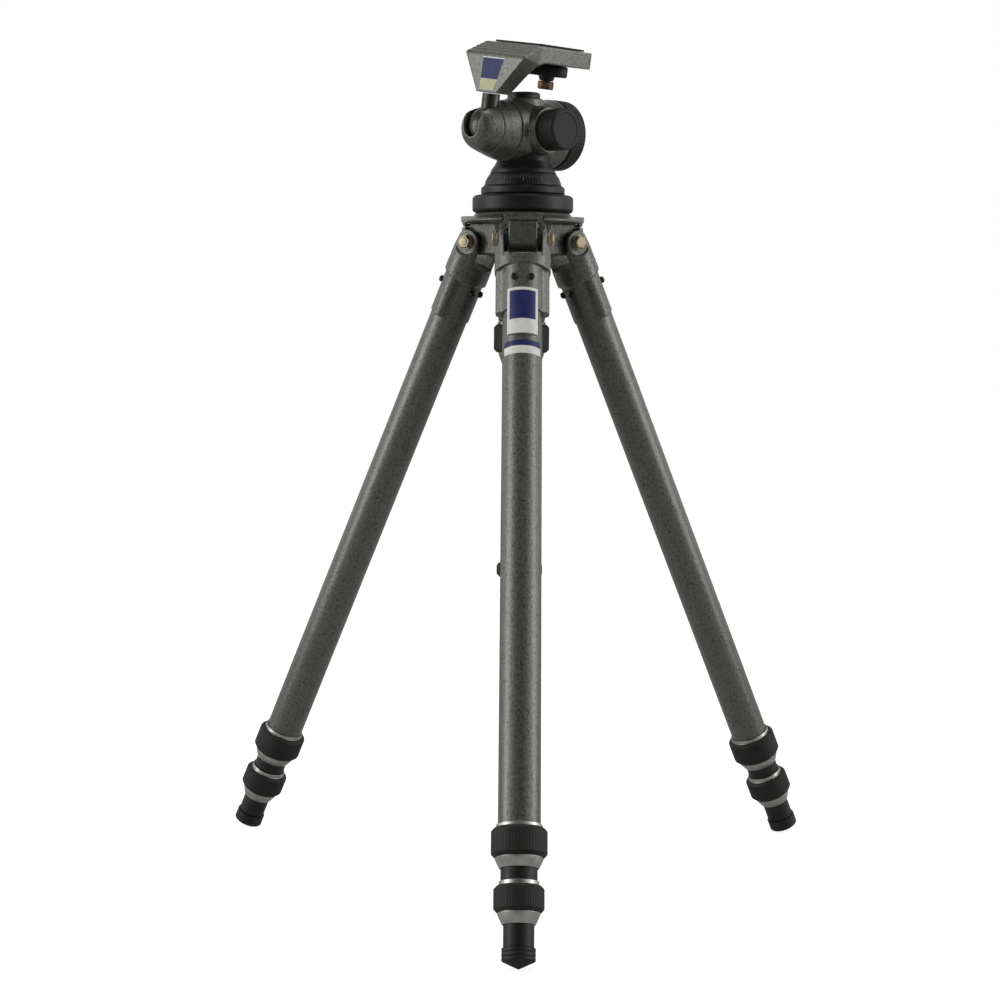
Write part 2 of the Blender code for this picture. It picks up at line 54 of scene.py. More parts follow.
# tubes, and distances along a leg from its hinge; a lock's are its collar's top, its grip's top
# and end, its cone's end and the outer tube's end
UPPER_R, MID_R, LOWER_R, COLUMN_R, WALL = 14.0, 12.0, 10.0, 12.0, 1.3
UPPER_TOP, MID_TOP, LOWER_TOP, GUIDE_SHOULDER = 22.0, 30.0, 38.0, 0.35
LOCK_1 = (422.8, 425.0, 444.0, 451.2, 438.0)
LOCK_2 = (459.5, 462.2, 479.2, 487.0, 474.0)
UPPER_GRIP_R, LOWER_GRIP_R, COLUMN_GRIP_R = 18.4, 16.5, 20.4
LEG_LENGTH, FOOT_TOP, FOOT_BAND_END, FOOT_R = 514.85, 501.6, 509.6, 11.0
SCREW_DOWN, SCREW_APART, SCREW_REACH = 35.8, 5.9, 14.3

# hinges: the leg-top casting, its fork and the lug between its ears
LEAN = math.radians(24.78)
HINGE_R, FORK_HALF, SLEEVE_END = 37.4, 20.1, 59.5
SLEEVE_R, WING_X, WING_Y, EAR_HALF = 15.0, 18.8, 5.0, 17.4
FORK_GAP_HALF, LUG_HALF, EYE_R, PIN_HOLE_R = 13.9, 10.25, 9.0, 3.3
BOLT_GAP, BOLT_FLANGE_R, HEX_R = 0.3, 5.5, 5.3

# column sleeve and the ball head
FLANGE_BOTTOM, FLANGE_TOP = 481.3, 488.2
BARREL_Z, SEAM = 547.0, 14.3
BALL_R, SOCKET_R, STEM_R, SLOT_HALF = 15.2, 15.6, 6.35, 6.95
PLATE_TOP, PLATE_BOTTOM, SCREW_AT = 62.2, 50.4, 55.0
PLATE_LOW = 25.3
FACE_LOW, FACE_TOP = (-6.0, PLATE_LOW), (-1.4, 52.0)
RAMP_LOW, RAMP_TOP = (0.2, 53.8), (16.0, PLATE_TOP)
RING_TICKS, LONG_TICK_EVERY = 72, 6
THREAD_START, THREAD_TURNS, THREAD_TOP_R, THREAD_ROOT_R = 51.0, 11, 3.17, 2.65

# meshing
CORNER_STEPS, EDGE_STEPS, TINY = 4, 3, 1e-6
LIGHT_TARGET = Vector((0, 0, 0.35))


def axes(origin, x_axis, z_axis):
    """A placing matrix from an origin and two axes."""
    z = Vector(z_axis).normalized()
    y = z.cross(Vector(x_axis)).normalized()
    x = y.cross(z)
    turn = Matrix((x, y, z)).transposed().to_4x4()
    return Matrix.Translation(Vector(origin)) @ turn


AXIS = Vector(JOINTS["head_pan"]["pos_m"])
TRIPOD = Matrix.Translation((AXIS.x, AXIS.y, 0))
HINGES = {}
UPRIGHTS = {}
for leg in LEGS:
    splay = JOINTS[f"leg_{leg}_splay"]
    down = Vector(JOINTS[f"middle_{leg}_slide"]["axis"])
    HINGES[leg] = axes(splay["pos_m"], -Vector(splay["axis"]), -down)
    UPRIGHTS[leg] = axes((AXIS.x, AXIS.y, 0), -Vector(splay["axis"]), UP)
BALL_AT = JOINTS["ball_lean"]["pos_m"]
SIDEWAYS = JOINTS["pan_lock_turn"]["axis"]
PAN = axes((AXIS.x, AXIS.y, 0), SIDEWAYS, UP)
BARREL = axes(BALL_AT, SIDEWAYS, JOINTS["ball_lean"]["axis"])
SIDE = PAN @ Matrix.Translation((0, 0, BARREL_Z * MM)) @ Matrix.Rotation(math.pi / 2, 4, "Y")
BALL = axes(BALL_AT, JOINTS["ball_tilt"]["axis"], JOINTS["ball_swivel"]["axis"])
SCREW = BALL @ Matrix.Translation((0, SCREW_AT * MM, 0))


# ---------------------------------------------------------------- materials

def shader_material(name, colour, roughness, metallic, **more):
    """A Principled material, returned with its node tree and shader."""
    material = bpy.data.materials.new(name)
    material.use_nodes = True
    tree = material.node_tree
    shader = tree.nodes["Principled BSDF"]
    shader.inputs["Base Color"].default_value = (*colour, 1)
    shader.inputs["Roughness"].default_value = roughness
    shader.inputs["Metallic"].default_value = metallic
    for socket, value in more.items():
        shader.inputs[socket.replace("_", " ")].default_value = value
    return material, tree, shader


def texture(tree, kind, scale, stretch=(1, 1, 1), **more):
    """A procedural texture on the piece's own coordinates, in metres."""
    coords = tree.nodes.new("ShaderNodeAttribute")
    coords.attribute_name = "local"
    mapping = tree.nodes.new("ShaderNodeMapping")
    mapping.inputs["Scale"].default_value = stretch
    node = tree.nodes.new(kind)
    node.inputs["Scale"].default_value = scale
    for socket, value in more.items():
        node.inputs[socket.replace("_", " ")].default_value = value
    tree.links.new(coords.outputs["Vector"], mapping.inputs["Vector"])
    tree.links.new(mapping.outputs["Vector"], node.inputs["Vector"])
    return node


def ramp(tree, source, stops):
    """A colour ramp on a texture's output; stops are (position, colour)."""
    node = tree.nodes.new("ShaderNodeValToRGB")
    while len(node.color_ramp.elements) < len(stops):
        node.color_ramp.elements.new(0.5)
    for element, (position, colour) in zip(node.color_ramp.elements, stops):
        element.position = position
        element.color = (*colour, 1)
    tree.links.new(source, node.inputs["Fac"])
    return node.outputs["Color"]


def spread(tree, source, low, high):
    """Maps a 0 to 1 texture onto a range of values."""
    node = tree.nodes.new("ShaderNodeMapRange")
    node.inputs["To Min"].default_value = low
    node.inputs["To Max"].default_value = high
    tree.links.new(source, node.inputs["Value"])
    return node.outputs["Result"]


def bump(tree, shader, layers):
    """Stacks bump layers of (height output, strength, depth in mm) onto the shader."""
    normal = None
    for height, strength, depth in layers:
        node = tree.nodes.new("ShaderNodeBump")
        node.inputs["Strength"].default_value = strength
        node.inputs["Distance"].default_value = depth * MM
        tree.links.new(height, node.inputs["Height"])
        if normal:
            tree.links.new(normal, node.inputs["Normal"])
        normal = node.outputs["Normal"]
    tree.links.new(normal, shader.inputs["Normal"])


def hammertone():
    """Grey-green hammered enamel: smooth pebbles with darker veins between them."""
    more = {"Coat_Weight": 0.25, "Coat_Roughness": 0.22}
    material, tree, shader = shader_material("hammertone", (0.1, 0.1, 0.09), 0.4, 0.55, **more)
    warp = texture(tree, "ShaderNodeTexNoise", 1100.0, Detail=3.0)
    cells = texture(tree, "ShaderNodeTexVoronoi", 850.0, (1, 1, 0.8), Randomness=1.0)
    cells.feature = "SMOOTH_F1"
    shade = ramp(tree, cells.outputs["Distance"], [
        (0.05, (0.150, 0.150, 0.133)), (0.5, (0.100, 0.101, 0.089)), (0.8, (0.050, 0.051, 0.045))])
    tree.links.new(shade, shader.inputs["Base Color"])
    tree.links.new(spread(tree, warp.outputs["Fac"], 0.26, 0.5), shader.inputs["Roughness"])
    bump(tree, shader, [(cells.outputs["Distance"], 0.5, -0.25), (warp.outputs["Fac"], 0.25, 0.1)])
    return material


def black_paint():
    """Satin black finish with fine grain and faint scuffs."""
    material, tree, shader = shader_material("black_metal", (0.008, 0.008, 0.007), 0.42, 0.0,
                                             Specular_IOR_Level=0.32)
    grain = texture(tree, "ShaderNodeTexNoise", 1500.0, Detail=4.0)
    scuffs = texture(tree, "ShaderNodeTexNoise", 90.0, (1, 1, 3), Detail=6.0)
    shade = ramp(tree, scuffs.outputs["Fac"], [
        (0.35, (0.006, 0.006, 0.005)), (0.62, (0.010, 0.010, 0.009)), (0.8, (0.022, 0.022, 0.02))])
    tree.links.new(shade, shader.inputs["Base Color"])
    tree.links.new(spread(tree, scuffs.outputs["Fac"], 0.3, 0.56), shader.inputs["Roughness"])
    bump(tree, shader, [(grain.outputs["Fac"], 0.25, 0.06)])
    return material


def rubber(name, colour, roughness):
    """Matt rubber with a fine moulded grain and a dusty bloom."""
    material, tree, shader = shader_material(name, colour, roughness, 0.0, Specular_IOR_Level=0.3)
    grain = texture(tree, "ShaderNodeTexNoise", 2200.0, Detail=3.0)
    bloom = texture(tree, "ShaderNodeTexNoise", 60.0, Detail=5.0)
    light = tuple(min(1, c * 1.9 + 0.004) for c in colour)
    shade = ramp(tree, bloom.outputs["Fac"], [(0.35, colour), (0.75, light)])
    tree.links.new(shade, shader.inputs["Base Color"])
    tree.links.new(spread(tree, bloom.outputs["Fac"], roughness - 0.1, roughness + 0.12),
                   shader.inputs["Roughness"])
    bump(tree, shader, [(grain.outputs["Fac"], 0.35, 0.08)])
    return material


def turned_metal(name, colour, dark, roughness):
    """Turned metal: fine tool rings round the axis and a slightly uneven tarnish."""
    material, tree, shader = shader_material(name, colour, roughness, 1.0)
    rings = texture(tree, "ShaderNodeTexNoise", 900.0, (0.05, 0.05, 3.0), Detail=2.0)
    tarnish = texture(tree, "ShaderNodeTexNoise", 130.0, Detail=6.0)
    shade = ramp(tree, tarnish.outputs["Fac"], [(0.3, dark), (0.6, colour)])
    tree.links.new(shade, shader.inputs["Base Color"])
    tree.links.new(spread(tree, tarnish.outputs["Fac"], roughness - 0.08, roughness + 0.16),
                   shader.inputs["Roughness"])
    bump(tree, shader, [(rings.outputs["Fac"], 0.22, 0.05)])
    return material


def printed(name, colour, roughness=0.35):
    """A printed label film with slight unevenness and handling marks."""
    material, tree, shader = shader_material(name, colour, roughness, 0.0, Specular_IOR_Level=0.2)
    marks = texture(tree, "ShaderNodeTexNoise", 180.0, Detail=8.0)
    worn = tuple(c * 0.78 + 0.02 for c in colour)
    shade = ramp(tree, marks.outputs["Fac"], [(0.42, colour), (0.8, worn)])
    tree.links.new(shade, shader.inputs["Base Color"])
    bump(tree, shader, [(marks.outputs["Fac"], 0.12, 0.05)])
    return material


def level_fluid():
    """Clear yellow-green fluid under a shiny dome."""
    material, tree, shader = shader_material("level_fluid", (0.45, 0.52, 0.16), 0.05, 0.0,
                                             Coat_Weight=1.0, Coat_Roughness=0.03)
    swirl = texture(tree, "ShaderNodeTexNoise", 120.0, Detail=2.0)
    shade = ramp(tree, swirl.outputs["Fac"], [(0.3, (0.36, 0.44, 0.11)), (0.7, (0.52, 0.58, 0.2))])
    tree.links.new(shade, shader.inputs["Base Color"])
    return material


FINISH = {
    "hammertone": hammertone(),
    "black_metal": black_paint(),
    "rubber": rubber("rubber", (0.007, 0.007, 0.006), 0.6),
    "foot_rubber": rubber("foot_rubber", (0.006, 0.006, 0.005), 0.5),
    "aluminium": turned_metal("aluminium", (0.46, 0.455, 0.43), (0.32, 0.315, 0.295), 0.3),
    "brass": turned_metal("brass", (0.30, 0.19, 0.13), (0.12, 0.07, 0.045), 0.42),
    "level_glass": level_fluid(),
}
STEEL = turned_metal("dark_steel", (0.06, 0.06, 0.056), (0.03, 0.03, 0.028), 0.26)
NUT = turned_metal("plated_nut", (0.42, 0.37, 0.26), (0.24, 0.18, 0.11), 0.42)
WHITE = printed("label_white", (0.72, 0.73, 0.68))
TICK = printed("scale_print", (0.16, 0.16, 0.15))
CREAM = printed("label_cream", (0.50, 0.49, 0.27))
BLUE = printed("label_blue", (0.016, 0.022, 0.11), 0.4)


# ---------------------------------------------------------------- mesh tools

def soften(points, radius, closed):
    """Rounds the corners of an outline with short curves."""
    rounded = []
    count = len(points)
    for i, point in enumerate(points):
        if not closed and i in (0, count - 1):
            rounded.append(point)
            continue
        here = Vector(point)
        before, after = Vector(points[i - 1]), Vector(points[(i + 1) % count])
        back, ahead = before - here, after - here
        straight = math.radians(172)
        if back.length < TINY or ahead.length < TINY or back.angle(ahead) > straight:
            rounded.append(point)
            continue
        start = here + back.normalized() * min(radius, back.length * 0.45)
        end = here + ahead.normalized() * min(radius, ahead.length * 0.45)
        for k in range(CORNER_STEPS + 1):
            t = k / CORNER_STEPS
            at = start * (1 - t) ** 2 + here * 2 * t * (1 - t) + end * t ** 2
            rounded.append((at.x, at.y))
    return rounded


def arc(centre_x, centre_y, radius, start, end, steps):
    """Points along a round stretch, angles in degrees."""
    points = []
    for i in range(steps + 1):
        angle = math.radians(start + (end - start) * i / steps)
        points.append((centre_x + radius * math.cos(angle), centre_y + radius * math.sin(angle)))
    return points


def mirrored(outline):
    """An outline's right half, carried round its left half."""
    return outline + [(-x, y) for x, y in reversed(outline)]


def to_object(name, bm, place):
    """A smooth-shaded object from a mesh in its own frame."""
    bmesh.ops.recalc_face_normals(bm, faces=bm.faces)
    mesh = bpy.data.meshes.new(name)
    bm.to_mesh(mesh)
    bm.free()
    mesh.shade_smooth()
    mesh.set_sharp_from_angle(angle=math.radians(38))
    made = bpy.data.objects.new(name, mesh)
    bpy.context.scene.collection.objects.link(made)
    made.matrix_world = place
    return made


def lathe(name, profile, place, sides=96, round_by=0.35, ripple=None):
    """A (radius, height) profile turned about Z; ripple(angle, radius, height) adds to the radius."""
    solid = profile[0][0] == 0
    points = soften(profile, round_by, closed=not solid) if round_by else profile
    bm = bmesh.new()
    rings = []
    for radius, height in points:
        if radius < TINY:
            rings.append([bm.verts.new((0, 0, height * MM))])
            continue
        ring = []
        for i in range(sides):
            angle = math.tau * i / sides
            r = radius + (ripple(angle, radius, height) if ripple else 0)
            ring.append(bm.verts.new(Vector((r * math.cos(angle), r * math.sin(angle), height)) * MM))
        rings.append(ring)
    pairs = list(zip(rings, rings[1:]))
    if not solid:
        pairs.append((rings[-1], rings[0]))
    for low, high in pairs:
        for i in range(sides):
            j = (i + 1) % sides
            corners = [low[i % len(low)], low[j % len(low)], high[j % len(high)], high[i % len(high)]]
            bm.faces.new(list(dict.fromkeys(corners)))
    return to_object(name, bm, place)


def prism(name, outline, low, high, place, along="Z", edge=0.0):
    """An outline extruded along an axis, its end edges bevelled by edge."""
    order = {"Z": (0, 1, 2), "X": (2, 0, 1), "Y": (1, 2, 0)}[along]
    bm = bmesh.new()
    ends = []
    for depth in (low, high):
        points = [(u, v, depth) for u, v in outline]
        ends.append([bm.verts.new(Vector([p[k] for k in order]) * MM) for p in points])
    caps = [bm.faces.new(ends[0]), bm.faces.new(ends[1])]
    for i in range(len(outline)):
        j = (i + 1) % len(outline)
        bm.faces.new((ends[0][i], ends[0][j], ends[1][j], ends[1][i]))
    if edge:
        rim = list({e for cap in caps for e in cap.edges})
        bmesh.ops.recalc_face_normals(bm, faces=bm.faces)
        bmesh.ops.bevel(bm, geom=rim, offset=edge * MM, segments=EDGE_STEPS, profile=0.5,
                        affect="EDGES")
    return to_object(name, bm, place)


def settle(target, tools=(), voxel=0.0, smooth=0):
    """Applies the cuts and unions in tools, then rounds the piece as a casting by remeshing."""
    for operation, tool in tools:
        boolean = target.modifiers.new(tool.name, "BOOLEAN")
        boolean.operation = operation
        boolean.solver = "EXACT"
        boolean.object = tool
    if voxel:
        remesh = target.modifiers.new("cast", "REMESH")
        remesh.mode = "VOXEL"
        remesh.voxel_size = voxel * MM
        soft = target.modifiers.new("soft", "SMOOTH")
        soft.factor = 0.5
        soft.iterations = smooth
    bpy.context.view_layer.update()
    graph = bpy.context.evaluated_depsgraph_get()
    mesh = bpy.data.meshes.new_from_object(target.evaluated_get(graph))
    target.modifiers.clear()
    target.data = mesh
    mesh.shade_smooth()
    if not voxel:
        mesh.set_sharp_from_angle(angle=math.radians(32))
    for _, tool in tools:
        bpy.data.objects.remove(tool, do_unlink=True)
    return target


def show(piece, body, slot, *nodes, finish=None):
    """Paints a piece, rides it on its body and lets it stand for CAD nodes.

    Its own coordinates stay on the mesh for the textures, and its points move to the world.
    """
    mesh = piece.data
    places = [0.0] * (3 * len(mesh.vertices))
    mesh.vertices.foreach_get("co", places)
    mesh.attributes.new("local", "FLOAT_VECTOR", "POINT").data.foreach_set("vector", places)
    mesh.transform(piece.matrix_basis)
    piece.matrix_basis = Matrix()
    mesh.materials.clear()
    mesh.materials.append(finish or FINISH[slot])
    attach(piece, body)
    if nodes:
        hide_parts(*nodes)


def ribs(count, depth, low, high, minimum):
    """A ripple of round-bottomed grooves between two heights, outside a minimum radius."""
    def ripple(angle, radius, height):
        if radius < minimum or not low <= height <= high:
            return 0.0
        return -depth * (0.5 + 0.5 * math.cos(angle * count)) ** 3
    return ripple


# ---------------------------------------------------------------- tripod legs

def sleeve_section(grow=0.0, start=0.0, end=360.0, steps=64):
    """The sleeve's section, round in front and behind with a wing on each side."""
    points = []
    for i in range(steps + 1):
        angle = math.radians(start + (end - start) * i / steps)
        c, s = math.cos(angle), math.sin(angle)
        wing = ((c / WING_X) ** 4 + (s / WING_Y) ** 4) ** -0.25
        reach = (wing ** 8 + SLEEVE_R ** 8) ** 0.125 + grow
        points.append((reach * c, reach * s))
    return points


def make_leg_top(leg):
    """The forked leg-top casting, softened like a sand casting under enamel."""
    hinge = HINGES[leg]
    side = arc(0, 0, EYE_R, 0, 180, 20)
    side += [(-11.6, -9.0), (-14.8, -16.0), (-16.0, -20.5), (-15.0, -25.0)]
    side += [(15.0, -30.0), (17.0, -25.0), (17.0, -18.0), (13.4, -9.5)]
    top = prism(f"leg_casting_{leg}", side, -23.0, 23.0, hinge, "X")
    oval = [(x * FORK_HALF, y * (16.0 if y > 0 else 15.2)) for x, y in arc(0, 0, 1.0, 2, 358, 89)]
    sleeve = prism("sleeve", sleeve_section()[:-1], -SLEEVE_END + 0.1, -19.5, hinge)
    gap = [(-40.0, -17.0), (40.0, -17.0), (40.0, 30.0), (-40.0, 30.0)]
    tools = [("INTERSECT", prism("section", oval, -60.0, 20.0, hinge)), ("UNION", sleeve)]
    tools.append(("DIFFERENCE", prism("gap", gap, -FORK_GAP_HALF, FORK_GAP_HALF, hinge, "X")))
    spot_face = arc(0, 0, 9.6, 0, 354, 59)
    for low, high in ((-30.0, -EAR_HALF), (EAR_HALF, 30.0)):
        tools.append(("DIFFERENCE", prism("face", spot_face, low, high, hinge, "X")))
    heel = []
    for out, up in ((1.5, 2.0), (5.3, 2.0), (5.3, 10.2), (4.3, 11.1), (1.5, 11.1)):
        y = -(out * math.cos(LEAN) + up * math.sin(LEAN))
        heel.append((y, -out * math.sin(LEAN) + up * math.cos(LEAN)))
    for low, high in ((-16.0, -11.5), (11.5, 16.0)):
        tools.append(("UNION", prism("heel", heel, low, high, hinge, "X")))
    pin = arc(0, 0, PIN_HOLE_R, 0, 350, 35)
    tools.append(("DIFFERENCE", prism("pin", pin, -40, 40, hinge, "X")))
    bore = [(0, -90), (UPPER_R, -90), (UPPER_R, -UPPER_TOP + 0.2), (0, -UPPER_TOP + 0.2)]
    tools.append(("DIFFERENCE", lathe("bore", bore, hinge, round_by=0)))
    settle(top, tools, voxel=0.55, smooth=3)
    show(top, f"leg_{leg}", "hammertone", f"leg_top_{leg}")


def make_leg_screws(leg):
    """Two small domed screws on the sleeve's outer face and two on its inner face."""
    hinge = HINGES[leg]
    dome = [(0, -1.0), (2.5, -1.0), (2.5, 0.9), (1.9, 1.6), (0.9, 2.0), (0.8, 1.2), (0, 1.2)]
    for name, facing in (("outer", 1), ("inner", -1)):
        tilt = Matrix.Rotation(facing * math.pi / 2, 4, "X")
        for number, x in enumerate((-SCREW_APART, SCREW_APART), 1):
            spot = Matrix.Translation(Vector((x, -facing * SCREW_REACH, -SCREW_DOWN)) * MM)
            screw = lathe(f"{name}_screw_{leg}_{number}", dome, hinge @ spot @ tilt, 32, 0.3)
            show(screw, f"leg_{leg}", "black_metal")


def make_tube(name, node, radius, top, end, leg, body, slot, shoulder=0.0):
    """A leg section with softened ends; an inner one has a guide shoulder at its top."""
    inner = radius - WALL
    profile = [(inner, -end), (radius, -end)]
    if shoulder:
        profile += [(radius, -top - 18.0), (radius + shoulder, -top - 17.0)]
    profile += [(radius + shoulder, -top), (inner, -top)]
    show(lathe(name, profile, HINGES[leg], 96, 0.3), body, slot, node)


def make_lock(leg, which, spans, outer_tube, inner_tube, grip_r, body):
    """A twist lock: turned aluminium collar and a ribbed rubber grip."""
    top, grip_top, grip_end, cone_end, tube_end = spans
    body_r = grip_r - 2.9
    collar = [
        (outer_tube + 0.3, -top),
        (outer_tube + 1.1, -top),
        (outer_tube + 1.1, -grip_top + 0.1),
        (body_r, -grip_top + 0.1),
        (body_r, -grip_end - 0.4),
        (grip_r - 2.3, -grip_end - 0.4),
        (grip_r - 3.0, -grip_end - 2.2),
        (inner_tube + 0.9, -cone_end),
        (inner_tube + 0.3, -cone_end),
        (inner_tube + 0.3, -tube_end - 0.4),
        (outer_tube + 0.3, -tube_end - 0.4),
    ]
    piece = lathe(f"{which}_collar_{leg}", collar, HINGES[leg], 96, 0.25)
    show(piece, body, "aluminium", f"lock_collar_{which}_{leg}")
    grip = grip_piece(f"{which}_grip_{leg}", body_r + 0.3, grip_r, -grip_end, -grip_top, HINGES[leg])
    show(grip, body, "rubber", f"lock_grip_{which}_{leg}")


def grip_piece(name, inner, outer, low, high, place):
    """A rubber sleeve with chamfers and fine lengthwise ribs."""
    profile = [
        (inner, low),
        (outer - 2.0, low),
        (outer, low + 2.2),
        (outer, low + 3.0),
        (outer, high - 3.0),
        (outer, high - 2.2),
        (outer - 2.0, high),
        (inner, high),
    ]
    return lathe(name, profile, place, 240, 0.5, ribs(56, 0.2, low + 2.3, high - 2.3, outer - 0.6))


def make_foot(leg):
    """The rubber foot: a band with two shallow grooves and a blunt cone."""
    profile = [(0, -LEG_LENGTH), (FOOT_R - 0.8, -FOOT_BAND_END - 0.6), (FOOT_R, -FOOT_BAND_END)]
    for groove in (507.2, 504.4):
        profile += [(FOOT_R, -groove - 0.4), (FOOT_R - 0.5, -groove), (FOOT_R, -groove + 0.4)]
    profile += [(FOOT_R, -FOOT_TOP), (8.4, -FOOT_TOP), (8.4, -FOOT_TOP + 14), (0, -FOOT_TOP + 14)]
    foot = lathe(f"rubber_foot_{leg}", profile, HINGES[leg], 96, 0.4)
    show(foot, f"lower_{leg}", "foot_rubber", f"foot_{leg}")


def make_hinge_hardware(leg):
    """Six-sided bolt head and nut on turned flanges, and the dark friction washers."""
    place = HINGES[leg] @ Matrix.Rotation(math.pi / 2, 4, "Y")
    ear = EAR_HALF + BOLT_GAP
    shank = [(0, -ear - 1.2), (BOLT_FLANGE_R, -ear - 1.2), (BOLT_FLANGE_R, -ear), (3.0, -ear)]
    shank += [(3.0, ear + 5.0), (0, ear + 5.1)]
    bolt = lathe(f"bolt_{leg}", shank, place, 64, 0.3)
    six = [(0, -ear - 4.5), (4.2, -ear - 4.5), (HEX_R, -ear - 3.7), (HEX_R, -ear - 1), (0, -ear - 1)]
    head = lathe("head", six, place, 6, 0)
    settle(bolt, [("UNION", head)])
    show(bolt, "tripod_top", "brass", f"hinge_bolt_{leg}", finish=NUT)
    flange = [(3.25, ear), (BOLT_FLANGE_R, ear), (BOLT_FLANGE_R, ear + 1.2), (3.25, ear + 1.2)]
    nut = lathe(f"nut_{leg}", flange, place, 64, 0.3)
    hexagon = [(3.25, ear + 1), (HEX_R, ear + 1), (HEX_R, ear + 3.7), (4.5, ear + 4.5)]
    hexagon.append((3.25, ear + 4.5))
    settle(nut, [("UNION", lathe("hexagon", hexagon, place, 6, 0))])
    show(nut, "tripod_top", "brass", f"hinge_nut_{leg}", finish=NUT)
    for number, (low, high) in enumerate(((-13.6, -10.5), (10.5, 13.6)), 1):
        section = [(PIN_HOLE_R, low), (8.6, low), (8.6, high), (PIN_HOLE_R, high)]
        washer = lathe(f"friction_washer_{leg}_{number}", section, place, 64, 0.4)
        show(washer, "tripod_top", "black_metal")


def make_stop_tab(leg):
    """The sliding angle stop with its turned-down ends."""
    front = -HINGE_R - 7.4
    plate = [(-27.0, 481.5), (front + 4.2, 481.5), (front + 4.2, 479.0), (front + 2.0, 479.0)]
    plate += [(front, 483.2), (front, 486.3), (-27.0, 486.3)]
    place = UPRIGHTS[leg]
    tab = prism(f"angle_stop_{leg}", soften(plate, 0.7, True), -13.8, 13.8, place, "X", 0.5)
    notch = [(front - 2, 478.0), (front + 6, 478.0), (front + 6, 481.6), (front - 2, 481.6)]
    settle(tab, [("DIFFERENCE", prism("notch", notch, -10.8, 10.8, place, "X"))])
    show(tab, f"stop_{leg}", "hammertone", f"stop_tab_{leg}")


def curved_panel(name, section, low, high, thickness):
    """A film on the front leg that follows a curved section between two distances."""
    shrink = 1 - thickness / 16
    inner = [(x * shrink, y * shrink) for x, y in reversed(section)]
    return prism(name, section + inner, -high, -low, HINGES[1])


def make_leg_labels():
    """Plain labels on the front leg: a framed blue panel and a small two-tone strip."""
    panels = (
        ("label_frame", 0.2, 45.0, 44.4, 79.5, 1.3, WHITE),
        ("label_panel", 0.33, 36.5, 46.7, 68.5, 0.2, BLUE),
    )
    for name, grow, half, low, high, thickness, finish in panels:
        section = sleeve_section(grow, 270 - half, 270 + half, 24)
        show(curved_panel(name, section, low, high, thickness), "leg_1", "hammertone", finish=finish)
    section = arc(0, 0, UPPER_R + 0.18, 208, 332, 24)
    strips = (("strip_blue", 84.6, 88.2, BLUE), ("strip_white", 88.8, 94.6, WHITE))
    for name, low, high, finish in strips:
        show(curved_panel(name, section, low, high, 0.2), "leg_1", "hammertone", finish=finish)


# ---------------------------------------------------------------- tripod top and column

def make_spider():
    """The cast top: column sleeve, flared flange, hinge lugs and slots for the angle stops."""
    profile = [(0, 392.0), (15.4, 392.0), (15.4, 409.3), (17.25, 409.3), (17.25, 468.0)]
    profile += [(21.0, FLANGE_BOTTOM), (42.0, FLANGE_BOTTOM), (42.0, 482.8), (36.5, 485.6)]
    profile += [(34.6, FLANGE_TOP), (0, FLANGE_TOP)]
    spider = lathe("crown_casting", profile, TRIPOD, 120, 1.0)
    tools = []
    for leg in LEGS:
        place = UPRIGHTS[leg]
        pivot_z = HINGES[leg].translation.z / MM
        lug = [(-13.0, FLANGE_BOTTOM + 1.5), (-13.0, pivot_z - EYE_R)]
        lug += arc(-HINGE_R, pivot_z, EYE_R, 270, 180, 12)
        lug.append((-HINGE_R - 6.0, FLANGE_BOTTOM + 1.5))
        tools.append(("UNION", prism("lug", lug, -LUG_HALF, LUG_HALF, place, "X", 0.6)))
        slot = [(-HINGE_R - 12, 481.2), (-26.6, 481.2), (-26.6, 486.6), (-HINGE_R - 12, 486.6)]
        tools.append(("DIFFERENCE", prism("slot", slot, -14.1, 14.1, place, "X")))
        pin = arc(-HINGE_R, pivot_z, PIN_HOLE_R, 0, 350, 35)
        tools.append(("DIFFERENCE", prism("pin", pin, -30, 30, place, "X")))
    bore = [(0, 380), (COLUMN_R + 0.4, 380), (COLUMN_R + 0.4, 500), (0, 500)]
    tools.append(("DIFFERENCE", lathe("bore", bore, TRIPOD, round_by=0)))
    settle(spider, tools, voxel=0.7, smooth=2)
    show(spider, "tripod_top", "hammertone", "spider")


def make_column():
    """Top disc, tube, end cap and twist lock of the centre column."""
    disc = [(0, 488.6), (35.5, 488.6), (37.0, 490.1), (37.0, 499.1), (35.2, 500.9), (5.0, 500.9)]
    disc += [(5.0, 494.6), (0, 494.6)]
    show(lathe("top_disc", disc, TRIPOD, 128, 0.8), "column", "black_metal", "column_disc")
    inner = COLUMN_R - WALL
    tube = [(inner, 230.8), (COLUMN_R, 230.8), (COLUMN_R, 488.3), (inner, 488.3)]
    show(lathe("column", tube, TRIPOD, 96, 0.3), "column", "hammertone", "column_tube")
    stud = [(0, 495.0), (4.7, 495.0), (4.7, 511.5), (4.0, 512.2), (0, 512.2)]
    show(lathe("stud", stud, TRIPOD, 48, 0.3), "column", "aluminium", "head_stud")
    cap = [(0, 220.0), (15.0, 220.0), (17.0, 222.2), (17.0, 228.5), (15.4, 230.5)]
    cap += [(10.3, 230.5), (10.3, 246.0), (0, 246.0)]
    show(lathe("end_cap", cap, TRIPOD, 96, 0.6), "column", "black_metal", "column_end_cap")
    collar = [
        (15.7, 409.0),
        (17.6, 409.0),
        (17.6, 407.3),
        (18.0, 407.3),
        (18.0, 386.3),
        (17.0, 386.3),
        (16.4, 384.0),
        (14.0, 377.5),
        (12.3, 377.5),
        (12.3, 391.6),
        (15.7, 391.6),
    ]
    turned = lathe("column_collar", collar, TRIPOD, 96, 0.25)
    show(turned, "column_lock", "aluminium", "column_lock_collar")
    grip = grip_piece("column_grip", 18.3, COLUMN_GRIP_R, 386.5, 407.0, TRIPOD)
    show(grip, "column_lock", "rubber", "column_lock_grip")


# ---------------------------------------------------------------- ball head

